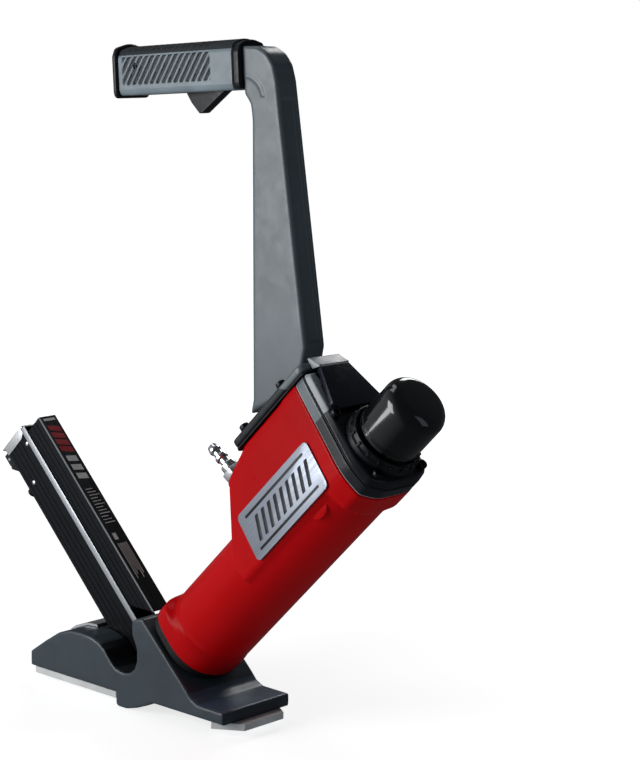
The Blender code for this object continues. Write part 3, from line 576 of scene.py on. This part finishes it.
# ---------------------------------------------------------------- head
def build_head():
    def flange(ux, uy, z):
        return flange_reach(ux, uy, 0.3)

    def gasket(ux, uy, z):
        return flange_reach(ux, uy, 1.0)

    def plate(ux, uy, z):
        slope = np.interp(z, [278, 283.4], [0.3, 3.4])
        return flange_reach(ux, uy, slope)

    # Rear flat of the head adapter: painted light, in the lighter casting paint, where the key lamp falls.
    def painted_lit_rear_flat(centre, normal):
        return centre.x < -38.5 and abs(centre.y) > 19 and normal.z > -0.5

    # Lower rim of the adapter: a thin band of pale paint as a painted highlight along the seam with the
    # housing.
    def seam(centre, normal):
        return centre.z < 266.8

    piece("head_adapter_body", polar_body(265.6, 276.0, flange, 1.1, 448), DRIVE, "frame", "head",
          ["head_adapter"], 34, [("casting", painted_lit_rear_flat), ("pale", seam)])
    piece("head_gasket_sheet", polar_body(276.3, 277.6, gasket, 0.3), DRIVE, "frame", "rubber",
          ["head_gasket"])

    # Outer rear rim of the head plate: pale paint as a painted highlight.
    def painted_plate_edge_highlight(centre, normal):
        return painted_lit_rear_flat(centre, normal) and hypot(centre.x, centre.y) > 40

    bm = polar_body(277.9, 283.4, plate, 1.3, 448, None, 0.86)
    piece("head_plate_body", bm, DRIVE, "frame", "head", ["head_plate"], 34,
          [("pale", painted_plate_edge_highlight)])

    cover = [(-75.2, -16.3), (-40.5, -28.2), (-37.0, -23.5), (-34.5, -21), (-34.5, 21), (-37.0, 23.5),
             (-40.5, 28.2), (-75.2, 16.3)]
    bm = prism(rounded(cover, [2, 2.5, 2, 2, 2, 2, 2.5, 2], 5), HEAD_TOP, 289.4, "z", 0.8)
    piece("exhaust_cover_body", bm, DRIVE, "frame", "navy", ["exhaust_cover"])
    deflector = rounded([(-87.0, 282.6), (-87.0, 284.4), (-75.9, 289.5), (-74.6, 289.3), (-75.6, 287.4),
                         (-78.2, 281.6)], [0.5, 0.7, 0.6, 0.5, 0, 0.5], 3)
    piece("rear_deflector", prism(deflector, -17.2, 17.2, "y", 0.35), DRIVE, "frame", "pale", ())

    low, high = HEAD_TOP, 294.0
    ring = rounded([(28.1, low), (32.0, low), (32.0, low + 4.6), (30.6, low + 6.2), (30.2, high),
                    (28.1, high)], [0.3, 0.5, 0.8, 0.8, 0.8, 0.4], 4)
    collar = turned(ring, 144)
    for k in range(18):
        rib = block((30.0, -1.1, low + 3.5), (31.7, 1.1, high - 1.2), 0.35)
        bmesh.ops.transform(rib, matrix=about("Z", 20 * k + 10), verts=rib.verts)
        merge(collar, rib)
    piece("cap_collar_ring", collar, DRIVE, "frame", "black", ["cap_collar"])

    cap = rounded([(20.5, 296.2), (26.9, 296.0), (26.9, 299.4), (26.5, 300.2), (26.5, 301.2), (26.85, 302.0),
                   (26.75, 340.2), (0, 342.0)], [0.4, 0.6, 0.4, 0.3, 0.3, 0.4, 11.2, 0], 10, False)
    inner = [(0, 310.0), (20.5, 310.0)]
    piece("strike_cap_dome", turned(inner + cap, 160), DRIVE, "striker", "cap", ["strike_cap"],
          28)


def build_cap_spring():
    """Coil round the drive axis, riding on the cap's body."""
    radius, wire, low, high, turns, around, steps = 13.5, 1.1, 285.3, 308.4, 5.5, 12, 240
    rings = []
    for k in range(steps + 1):
        share = k / steps
        a = 2 * pi * turns * share
        rise = np.interp(share, [0, 0.12, 0.88, 1], [0, 0.03, 0.97, 1])
        centre = Vector((radius * cos(a), radius * sin(a), low + (high - low) * rise))
        outward = Vector((cos(a), sin(a), 0))
        rings.append([tuple(centre + wire * (outward * cos(b) + Vector((0, 0, 1)) * sin(b)))
                      for b in (2 * pi * n / around for n in range(around))])
    spring = piece("cap_spring_coil", loft(rings), DRIVE, "striker", "steel", ["cap_spring"], 60)
    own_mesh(spring)


def cap_screw(radius=4.2, height=4.5):
    """Socket-head screw standing on z = 0, with a knurled side and a hexagonal socket."""
    bm = bmesh.new()
    sides = 72
    rings = []
    profile = [(2.2, -2.0), (2.2, 0.02), (radius - 0.3, 0.0), (radius, 0.35), (radius, height - 0.8),
               (radius - 0.25, height - 0.3), (radius - 0.8, height)]
    for index, (r, z) in enumerate(profile):
        ring = []
        for k in range(sides):
            a = 2 * pi * k / sides
            knurl = 0.13 if index in (3, 4) and k % 2 else 0.0
            ring.append(((r - knurl) * cos(a), (r - knurl) * sin(a), z))
        rings.append(ring)
    for z in (height, height - 0.25, height * 0.4):
        ring = []
        for k in range(sides):
            a = 2 * pi * k / sides
            sector = (a + pi / 6) % (pi / 3) - pi / 6
            r = radius * 0.5 / cos(sector) + (0.18 if z == height else 0.0)
            ring.append((r * cos(a), r * sin(a), z))
        rings.append(ring)
    return loft(rings, bm)


def build_screws():
    for index, (x, y) in enumerate([(-33, 28), (-33, -28), (26, 26), (26, -26)], 1):
        name = "head_screw_%d" % index
        place = DRIVE @ Matrix.Translation((x, y, HEAD_TOP))
        piece(name + "_detail", cap_screw(), place, "frame", "dark_steel", [name], 40)
    for index, (z, y) in enumerate([(193, 20.5), (193, -20.5), (249, 20.5), (249, -20.5)], 1):
        name = "handle_screw_%d" % index
        place = DRIVE @ about("Y", -90, (BACK_X - 9.6, y, z))
        piece(name + "_detail", cap_screw(), place, "frame", "dark_steel", [name], 40)


# ---------------------------------------------------------------- badge
def build_badge():
    """Silver plate with thin slanted bars between two lines: decoration only, no words."""
    slope = atan2(SIDE_Y - BACK_HALF, SIDE_X - BACK_X)
    front = 9.0
    surface = SIDE_Y + (front - SIDE_X) * tan(slope) + 0.3
    place = DRIVE @ Matrix.Translation((front, -surface, 0)) @ Matrix.Rotation(-slope, 4, "Z")
    width, low, high = 44.0, 146.0, 250.5
    outline = rounded([(-width, low), (0, low), (0, high), (-width, high)], 5, 6)
    piece("badge_plate_body", prism(outline, -1.2, 0, "y", 0.35), place, "frame", "badge", ["badge_plate"])
    bars = bmesh.new()

    def mark(points, depth=-1.32):
        merge(bars, prism(rounded(points, 0.6, 3), depth, -1.0, "y", 0.08, 2))

    for x in (-8.0, -38.4):
        mark([(x, low + 9), (x + 2.4, low + 9), (x + 2.4, high - 9), (x, high - 9)])
    for k in range(9):
        z = low + 12 + 9.2 * k
        mark([(-12.0, z), (-12.0, z + 4.4), (-32, z + 11.7), (-32, z + 7.3)])
    piece("badge_marks", bars, place, "frame", "dark_print", ())


# ---------------------------------------------------------------- handle and grip
def build_handle():
    """Post, foot and arm in one casting, with a groove down the post's outer face."""
    top, bottom = Vector((212.5, 529)), Vector((246.5, 322))
    outline = [(187, 262), (189.7, 274), (185.8, 498), (183.8, 510), (177.3, 517.5), (174.8, 555), (191, 555),
               (201, 550.5), (208.5, 541.5), tuple(top), tuple(bottom), (240, 290)]
    post = prism(rounded(outline, [0, 0, 30, 10, 0, 0, 14, 14, 14, 20, 0, 0], 8), -12.2, 12.2, "y", 2.6, 5)
    along = (bottom - top).normalized()
    across = Vector((-along.y, along.x))
    start = top + along * 14
    stop = bottom - along * 4
    deep = 1.6
    groove = prism([tuple(start - across * deep), tuple(start + across * 8), tuple(stop + across * 8),
                    tuple(stop - across * deep)], -7.2, 7.2, "y")
    arm = block((-30, -10.8, -13.5), (84, 10.8, 13.5), 1.0)
    bmesh.ops.transform(arm, matrix=ROW.inverted() @ GRIP, verts=arm.verts)
    foot = prism(rounded([(-26.8, 176.2), (26.8, 176.2), (26.8, 280.8), (-26.8, 280.8)], 6, 6),
                 BACK_X - 9.2, BACK_X - 1.9, "x", 1.6)
    to_row = ROW.inverted() @ DRIVE
    bmesh.ops.transform(foot, matrix=to_row, verts=foot.verts)
    under = prism([(BACK_X - 1.9, 60), (80, 60), (80, 420), (BACK_X - 1.9, 420)], -60, 60, "y")
    bmesh.ops.transform(under, matrix=to_row, verts=under.verts)
    notch = block((1, -5.5, -20), (61, 5.5, -2.5))
    valve_seat = turned([(0, -4), (5.3, -4), (5.3, 10), (0, 10)], 32, None, Matrix.Translation((20, 0, 0)))
    for cutter in (notch, valve_seat):
        bmesh.ops.transform(cutter, matrix=ROW.inverted() @ GRIP, verts=cutter.verts)
    ribs = []
    for side in (-1, 1):
        turns = np.linspace(radians(86), radians(12), 18)
        bend = [(177 + 24 * cos(a), 512 + 22 * sin(a)) for a in turns]
        inner = [(177 + 20.5 * cos(a), 512 + 18.5 * sin(a)) for a in reversed(turns)]
        low, high = sorted((side * 10.5, side * 12.9))
        ribs.append(prism(bend + inner, low, high, "y", 0.8))
    body = cast("handle", [post, foot, arm] + ribs, [under, groove, notch, valve_seat], 0.95, 5)

    def on_foot(centre, normal):
        return abs(centre.y) > 12.9 and centre.z < 290

    piece("handle_body", body, ROW, "frame", "casting", ["handle_casting"], 60,
          [("head", on_foot)])


def grip_section(grow=0.0, steps=24):
    """Cross-section of the grip as (y, z) points with soft corners."""
    y, z = 17.0 + grow, 20.5 + grow
    right = [(y - 1.5, -z), (y, -z + 5), (y, z - 10.5), (y - 3.2, z - 3.6)]
    corners = right + [(0, z + 0.4)] + [(-a, b) for a, b in reversed(right)]
    radii = [3.5, 3.0, 7, 5, 24, 5, 7, 3.0, 3.5]
    return rounded(corners, radii, steps // 4)


def resample(points, count):
    """Points spaced evenly along a closed outline, starting at its lowest middle."""
    loop = np.array(points + points[:1])
    lengths = np.concatenate([[0], np.cumsum(np.linalg.norm(np.diff(loop, axis=0), axis=1))])
    spots = np.linspace(0, lengths[-1], count + 1)[:-1]
    return np.stack([np.interp(spots, lengths, loop[:, 0]), np.interp(spots, lengths, loop[:, 1])], 1)


def outward(ring):
    """Unit normals of a closed outline, pointing away from its middle."""
    tangents = np.roll(ring, -1, 0) - np.roll(ring, 1, 0)
    normals = np.stack([tangents[:, 1], -tangents[:, 0]], 1)
    normals /= np.linalg.norm(normals, axis=1)[:, None]
    return -normals if (normals * ring).sum() < 0 else normals


def build_grip():
    rear, front = -62.0, 71.0
    section = resample(grip_section(), 220)
    normals = outward(section)
    rings = []
    for x in np.linspace(rear, front, 300):
        ends = min(x - rear, front - x)
        rounding = 0.9 - sqrt(max(0.0, 0.81 - max(0.0, 0.9 - ends) ** 2)) if ends < 0.9 else 0.0
        zone = np.interp(x, [-58, -56, 45, 47], [0, 1, 1, 0])
        ring = []
        for (y, z), (ny, nz) in zip(section, normals):
            side = np.interp(abs(y), [14.5, 16.2], [0, 1])
            side *= np.interp(z, [-12.5, -11.0, 10.0, 11.5], [0, 1, 1, 0])
            top = np.interp(z, [14.5, 16.5], [0, 1])
            phase = ((x - 0.75 * z) / 7.0) % 1.0
            ridge = np.interp(abs(phase - 0.5), [0.0, 0.16, 0.26, 0.5], [1, 1, 0, 0])
            phase_top = ((x - 0.75 * 10 - (14 - abs(y)) * 0.5) / 7.0) % 1.0
            ridge_top = np.interp(abs(phase_top - 0.5), [0.0, 0.14, 0.30, 0.5], [1, 1, 0, 0])
            height = -1.2 * zone * (side * (1 - ridge) + 0.8 * top * (1 - ridge_top)) - rounding
            ring.append((x, y + ny * height, z + nz * height))
        rings.append(ring)
    bm = loft(rings)
    slot = block((1.0, -5.5, -30), (61.0, 5.5, -8.0))
    hole = turned([(0, -9), (3.0, -9), (3.0, 6), (0, 6)], 32, None, about("X", 90, (-41, -15.6, 3)))
    bm = pierce(bm, "sleeve", [slot, hole])

    # Groove floors on the ribbed sides and the whole top: a darker copy of the grip colour as painted shade.
    def painted_shade_zone(centre, normal):
        groove = 14 < abs(centre.y) < 16.3 and -11.8 < centre.z < 10.8 and rear + 3 < centre.x < 47
        return groove or centre.z > 12.4

    piece("grip_sleeve_ribbed", bm, GRIP, "frame", "grip", ["grip_sleeve"], 40,
          [("grip_painted_shade", painted_shade_zone)])

    def band(grow, low, high, edge):
        """Ring of the grip's own section, grown all round."""
        ring = resample(grip_section(grow), 160)
        normals = outward(ring)
        return loft([[(x, y - n[0] * inset, z - n[1] * inset) for (y, z), n in zip(ring, normals)]
                     for x, inset in rounded_rims(low, high, edge, 5)])

    piece("grip_collar_band", band(-0.9, 71.3, 77.9, 1.2), GRIP, "frame", "black", ["grip_collar"])
    piece("grip_end_cap_body", band(2.1, -67.8, -62.3, 2.2), GRIP, "frame", "black", ["grip_end_cap"])

    shape = rounded([(4, -19.5), (10.5, -29), (19, -37.8), (23, -37.5), (50, -20.5), (58, -14), (58, -5),
                     (49, -5), (47, -11), (28, -14)], [2, 5, 2.5, 2.5, 3, 3, 4, 3, 2, 5], 6)
    piece("trigger_body", prism(shape, -4.5, 4.5, "y", 1.0, 4), GRIP, "trigger_lever", "black", ["trigger"],
          40)


# ---------------------------------------------------------------- base
def build_base():
    """The shoe: its side profile extruded, with the slots for the magazine and the driver cut in."""
    outline = [(-56, 6.0), (-56, 19), (-36, 32.5), (-19, 43), (-5, 48), (11, 49), (24, 48), (34, 45),
               (42, 40), (50, 31), (56, 26.5), (65, 25), (73, 26.5), (79, 31), (82, 38), (82, 49), (76, 61),
               (76, 72), (80, 75), (89, 77), (143, 26), (148, 20.5), (156, 16.8), (186, 16.5), (186, 6.0),
               (102, 6.0), (94, 2), (81, -3), (69, -6.2), (58, -6.2), (56, -4), (56, 6.0)]
    radii = [0, 2, 0, 8, 20, 20, 20, 15, 8, 8, 6, 8, 6, 4, 4, 8, 6, 4, 3, 2.5, 0, 5, 8, 2, 0, 12, 12, 14,
             5, 2, 2, 0]
    profile = prism(rounded(outline, radii, 6), -39.6, 39.6, "y", 1.5, 4)
    slot = block((-29.6, -10.3, 7.9), (29.6, 10.3, 140))
    bmesh.ops.transform(slot, matrix=ROW.inverted() @ MAG, verts=slot.verts)
    pocket = block((-8.3, -10, -70.3), (8.3, 10, 5))
    bmesh.ops.transform(pocket, matrix=ROW.inverted() @ DRIVE, verts=pocket.verts)
    channel = block((-3, -5, -110), (3, 5, -65))
    bmesh.ops.transform(channel, matrix=ROW.inverted() @ DRIVE, verts=channel.verts)
    cuts = [slot, pocket, channel]
    for x, y in ((-38, 24), (-38, -24), (178, 20), (178, -20)):
        cuts.append(turned([(0, -1), (4, -1), (4, 11.2), (0, 11.2)], 32, None, Matrix.Translation((x, y, 0))))
    body = cast("shoe", [profile], cuts, 1.0, 5)

    # Inner faces of the notch between wing and ear: black paint as painted shade in the recess.
    def painted_shade_notch(centre, normal):
        return 36 < centre.x < 83.5 and 24 < centre.z < 60 and abs(centre.y) < 38.8 and abs(normal.y) < 0.7

    # Top of the front foot: a lighter navy paint as painted light.
    def painted_lit_foot_top(centre, normal):
        return centre.x > 145 and 14 < centre.z < 40 and normal.z > 0.5 and abs(centre.y) < 38.4

    piece("shoe_body", body, ROW, "frame", "shoe", ["shoe_casting"], 60,
          [("black", painted_shade_notch), ("foot", painted_lit_foot_top)])


# ---------------------------------------------------------------- magazine
def build_magazine():
    """Two folded channels with grooved sides, their strips, rivets and printed bars, and the rear end."""
    y, x, seam, wall = 10.0, 29.3, 5.0, 1.8

    grooves = []
    for k in range(4):
        at = -24.5 + 5.6 * k
        grooves += [(at, -y), (at + 0.5, -y + 0.45), (at + 1.3, -y + 0.45), (at + 1.8, -y)]
    mirrored = [(a, -b) for a, b in reversed(grooves)]
    rail = [(-x + 1.2, -y)] + grooves + [(seam - 0.3, -y), (seam - 0.3, -y + wall), (-x + wall, -y + wall),
                                         (-x + wall, y - wall), (seam - 0.3, y - wall), (seam - 0.3, y)]
    rail += mirrored + [(-x + 1.2, y), (-x, y - 1.2), (-x, -y + 1.2)]
    bm = pierce(prism(rail, 8.9, 264.0, "z"), "rail", [block((-x - 5, -2.8, 46), (-x + 5, 2.8, 234))])
    piece("magazine_rail_body", bm, MAG, "frame", "anodised", ["magazine_rail"], 25)

    ridges = []
    for k in range(3):
        at = 11.0 + 5.2 * k
        ridges += [(at, -y), (at + 0.6, -y + 0.5), (at + 1.5, -y + 0.5), (at + 2.1, -y)]
    back = [(a, -b) for a, b in reversed(ridges)]
    cover = [(seam, -y)] + ridges + [(x - 0.9, -y), (x, -y + 0.9), (x, y - 0.9), (x - 0.9, y)] + back
    cover += [(seam, y), (seam, y - wall), (x - wall, y - wall), (x - wall, -y + wall), (seam, -y + wall)]
    level = prism([(-20, -20), (60, -20), (60, 15), (-20, 95)], -30, 30, "y")
    bm = pierce(prism(cover, 30.0, 256.6, "z"), "cover", [level])

    # Front bevel of the cover: pale paint as a painted highlight along the edge.
    def painted_cover_edge_highlight(centre, normal):
        return centre.x > x - 0.9 and abs(normal.x) > 0.5 and abs(normal.y) > 0.5

    piece("magazine_cover_body", bm, MAG, "frame", "anodised", ["magazine_cover"], 25,
          [("pale", painted_cover_edge_highlight)])

    def stickers(name, shapes, mat):
        bm = bmesh.new()
        for points in shapes:
            merge(bm, prism(points, x + 0.02, x + 0.14, "x"))
        piece(name, bm, MAG, "frame", mat, ())

    red = []
    for k in range(4):
        z = 247 - 7.6 * k
        red.append([(-6.5, z), (-6.5, z - 5.8), (6.5, z - 8.8), (6.5, z - 3.0)])
    stickers("label_red_bars", red, "red_print")
    white = [[(-6.5, 254.2), (-6.5, 251.6), (6.5, 251.6), (6.5, 254.2)]]
    for k in range(3):
        z = 213 - 9.6 * k
        white.append([(-5.5, z), (-5.5, z - 6.0), (5.5, z - 7.5), (5.5, z - 1.5)])
    for k in range(12):
        z = 176 - 3.3 * k
        white.append([(-5.2, z), (-5.2, z - 0.8), (2.6 + 1.8 * (k % 3), z - 0.8), (2.6 + 1.8 * (k % 3), z)])
    white.append([(-5.2, 128), (-5.2, 121), (-1.0, 121), (-1.0, 128)])
    for k in range(5):
        across, end = -5.2 + 2.3 * k, 80 + 4 * (k % 3)
        white.append([(across, 117), (across, end), (across + 0.7, end), (across + 0.7, 117)])
    stickers("label_white_bars", white, "white_print")

    for side, tag in ((1, "left"), (-1, "right")):
        low, high = sorted((side * (y + 0.3), side * (y + 1.3)))
        strip = block((seam - 2.6, low, 52), (seam + 3.4, high, 263), 0.3)
        piece("side_strip_%s_body" % tag, strip, MAG, "frame", "silver", ["side_strip_" + tag])
    rivets = bmesh.new()
    for side in (-1, 1):
        for at, z in ((-18.5, 219), (-0.8, 249.5)):
            dome = rounded([(0, -0.6), (2.1, -0.6), (2.1, 0.3), (0, 1.1)], [0, 0, 0.5, 0], 4, False)
            turned(dome, 32, rivets, about("X", -90 * side, (at, side * (y - 0.05), z)))
    piece("rail_rivets", rivets, MAG, "frame", "bright", ())

    bracket = rounded([(-x - 2.5, 264.2), (4, 264.2), (4, 266.3), (-x - 4.4, 266.3)], 0.4, 3)
    cap = prism(bracket, -y, y, "y", 0.5)
    for side in (-1, 1):
        low, high = sorted((side * (y + 0.05), side * (y + 0.75)))
        flange = rounded([(-x + 0.5, 256.8), (-3.0, 256.8), (2.0, 259.5), (2.0, 265.0), (-x + 0.5, 265.0)],
                         [1.5, 1.5, 1.5, 0.3, 0.3], 4)
        merge(cap, prism(flange, low, high, "y", 0.2))
    piece("rear_bracket_body", cap, MAG, "frame", "bright", ["rear_bracket"])

    hook = rounded([(-31.6, 259.6), (-30.3, 257.5), (-30.3, 241), (-33.2, 240.6), (-40.8, 249.2),
                    (-41.0, 250.4), (-37.6, 254.5), (-37.6, 260.5), (-35, 261)],
                   [0.5, 1, 0.8, 0.8, 0.5, 0.5, 2, 1, 0.8], 4)
    piece("latch_hook", prism(hook, -4.5, 4.5, "y", 0.5), MAG, "latch", "black", ["latch_lever"])


# ---------------------------------------------------------------- air inlet, and nodes kept from the CAD
def build_plug():
    """Hexagonal bushing and the ridged air plug in it."""
    tilt = about("Y", *INLET)
    hexagon = [(10.6 * cos(pi / 3 * k), 10.6 * sin(pi / 3 * k)) for k in range(6)]
    nut = prism(rounded(hexagon, 1.2, 3), 21.3, 29.0, "z", 0.7)
    piece("inlet_bushing_hex", nut, DRIVE @ tilt, "frame", "steel", ["inlet_bushing"])
    profile = [(2.2, 29.2), (7.1, 29.5), (7.1, 35.6), (4.5, 37.6), (4.4, 42.0), (5.6, 43.3), (5.6, 46.0),
               (4.0, 47.5), (4.0, 51.0), (5.2, 53.2), (5.0, 55.2), (3.9, 59.0), (2.2, 59.0)]
    soft = rounded(profile, [0.1, 0.6, 0.7, 0.6, 0.4, 0.5, 0.5, 0.5, 0.5, 0.7, 0.7, 0.3, 0.2], 4)
    piece("air_plug_body", turned(soft, 72), DRIVE @ tilt, "frame", "chrome", ["air_plug"])


def bevelled(name, mat, width=0.0, angle=35):
    """Keep a CAD node, with its own material and softened edges."""
    node = nodes[name]
    node.data.materials.clear()
    node.data.materials.append(MATS[mat])
    if width:
        flat = node.modifiers.new("planes", "DECIMATE")
        flat.decimate_type = "DISSOLVE"
        flat.angle_limit = radians(1)
        bevel = node.modifiers.new("edges", "BEVEL")
        bevel.width = width * MM
        bevel.segments = 3
        bevel.limit_method = "ANGLE"
        bevel.angle_limit = radians(angle)
        bevel.harden_normals = False


def dress_kept_nodes():
    """Give the CAD nodes that stay their materials, and soft edges of a width in millimetres."""
    kept = {
        "rear_sole_plate": ("sole", 0.8), "front_sole_plate": ("sole", 0.8),
        "magazine_mount": ("bright", 0.4),
        "feed_throat": ("anodised", 0.3), "driver_guide": ("steel", 0.3), "handle_gasket": ("rubber", 0),
        "latch_ear_left": ("black", 0.2), "latch_ear_right": ("black", 0.2),
        "pusher": ("dark_steel", 0.4), "pusher_spring": ("steel", 0), "latch_pin": ("steel", 0),
        "trigger_pin": ("steel", 0), "trigger_valve_body": ("brass", 0), "trigger_valve_stem": ("steel", 0),
        "grip_screw": ("dark_steel", 0), "ram_rod": ("steel", 0),
        "firing_valve": ("rubber", 0), "piston": ("silver", 0), "piston_seal": ("rubber", 0),
        "driver_blade": ("steel", 0), "cylinder_sleeve": ("silver", 0), "bumper": ("rubber", 0),
        "shoe_stud_1": ("steel", 0), "shoe_stud_2": ("steel", 0),
    }
    for index in range(1, 5):
        kept["sole_screw_%d" % index] = ("steel", 0)
    for name, (mat, width) in kept.items():
        bevelled(name, mat, width)


# ---------------------------------------------------------------- studio
CAMERA_AT = (1.4068, -1.2601, 0.5824)
CAMERA_TURN = (42.5, 9.5, 0.8)         # degrees: right of straight on, above, and rolled
LENS, SENSOR_HEIGHT = 104.2, 36.0


def aim(obj, at):
    direction = Vector(at) - obj.location
    obj.rotation_euler = direction.to_track_quat("-Z", "Y").to_euler()


def softbox(name, place, at, size, power, tint=(1, 1, 1)):
    light = bpy.data.lights.new(name, "AREA")
    light.shape = "RECTANGLE"
    light.size, light.size_y = size
    light.energy = power
    light.color = tint
    obj = bpy.data.objects.new(name, light)
    obj.location = place
    bpy.context.scene.collection.objects.link(obj)
    aim(obj, at)
    return obj


def build_floor():
    """White paper that fades into the white backdrop away from the tool."""
    floor_z = cad_box[0][2]
    bm = bmesh.new()
    bmesh.ops.create_grid(bm, x_segments=4, y_segments=4, size=6.0)
    bmesh.ops.translate(bm, verts=bm.verts, vec=(0, 0, floor_z - 0.0002))
    mesh = bpy.data.meshes.new("floor")
    bm.to_mesh(mesh)
    bm.free()
    floor = bpy.data.objects.new("floor", mesh)
    bpy.context.scene.collection.objects.link(floor)
    paper = Paint("floor_paper", (0.62, 0.62, 0.62), 0.8)
    paper.colour(paper.noise(3, 2), 0.02)
    away = paper.add("ShaderNodeVectorMath", operation="LENGTH")
    paper.link(paper.coords, away.inputs[0])
    paper.shader.inputs["Emission Color"].default_value = (1, 1, 1, 1)
    glow = paper.ramp(away.outputs["Value"], 0.3, 1.8, 0.74, 1.0)
    paper.link(glow, paper.shader.inputs["Emission Strength"])
    mesh.materials.append(paper.mat)
    floor.visible_glossy = False
    floor.visible_diffuse = False


def build_lights():
    middle = (0.15, 0, 0.3)
    softbox("key", (-0.7, -1.47, 0.62), middle, (1.0, 1.2), 22)
    softbox("top", (-0.5, 0.1, 1.9), middle, (0.8, 0.8), 3)
    softbox("edge", (-0.5, 1.5, 1.3), middle, (0.5, 0.9), 7)
    softbox("fill", (1.9, 0.3, 0.6), middle, (0.6, 1.3), 1.2, (0.75, 0.88, 1))


def build_world():
    """White backdrop; as a light it glows from one side, and from below on matt surfaces only."""
    world = bpy.data.worlds.new("studio")
    bpy.context.scene.world = world
    world.use_nodes = True
    tree = world.node_tree
    direction = tree.nodes.new("ShaderNodeTexCoord").outputs["Generated"]
    toward = tree.nodes.new("ShaderNodeVectorMath")
    toward.operation = "DOT_PRODUCT"
    toward.inputs[1].default_value = (-0.8, -0.6, 0)
    tree.links.new(direction, toward.inputs[0])
    side = ramp(tree, toward.outputs["Value"], 0.3, 0.95, 0.06, 0.4)
    split = tree.nodes.new("ShaderNodeSeparateXYZ")
    tree.links.new(direction, split.inputs[0])
    bounce = ramp(tree, split.outputs["Z"], -0.1, -0.6, 0.0, 0.4)
    path = tree.nodes.new("ShaderNodeLightPath")
    total = tree.nodes.new("ShaderNodeMath")
    total.operation = "MULTIPLY_ADD"
    for index, output in enumerate((bounce, path.outputs["Is Diffuse Ray"], side)):
        tree.links.new(output, total.inputs[index])
    dim = tree.nodes["Background"]
    dim.inputs["Color"].default_value = (0.9, 0.95, 1.0, 1)
    tree.links.new(total.outputs[0], dim.inputs["Strength"])
    seen = tree.nodes.new("ShaderNodeBackground")
    seen.inputs["Color"].default_value = (1, 1, 1, 1)
    mix = tree.nodes.new("ShaderNodeMixShader")
    for index, output in enumerate((path.outputs["Is Camera Ray"], dim.outputs[0], seen.outputs[0])):
        tree.links.new(output, mix.inputs[index])
    tree.links.new(mix.outputs[0], tree.nodes["World Output"].inputs["Surface"])
    bpy.context.scene.view_settings.view_transform = "Standard"


def build_camera():
    azimuth, elevation, roll = (radians(angle) for angle in CAMERA_TURN)
    back = Vector((sin(azimuth) * cos(elevation), -cos(azimuth) * cos(elevation), sin(elevation)))
    right = Vector((cos(azimuth), sin(azimuth), 0))
    up = back.cross(right)
    tilt_right = right * cos(roll) + up * sin(roll)
    tilt_up = -right * sin(roll) + up * cos(roll)
    matrix = Matrix((tilt_right, tilt_up, back)).transposed().to_4x4()
    matrix.translation = CAMERA_AT
    data = bpy.data.cameras.new("camera")
    data.sensor_fit = "VERTICAL"
    data.sensor_height = SENSOR_HEIGHT
    data.lens = LENS
    data.clip_start = 0.01
    camera = bpy.data.objects.new("camera", data)
    camera.matrix_world = matrix
    bpy.context.scene.collection.objects.link(camera)
    bpy.context.scene.camera = camera


build_housing()
build_spacer()
build_head()
build_cap_spring()
build_screws()
build_badge()
build_handle()
build_grip()
build_base()
build_magazine()
build_plug()
dress_kept_nodes()
build_floor()
build_lights()
build_world()
build_camera()
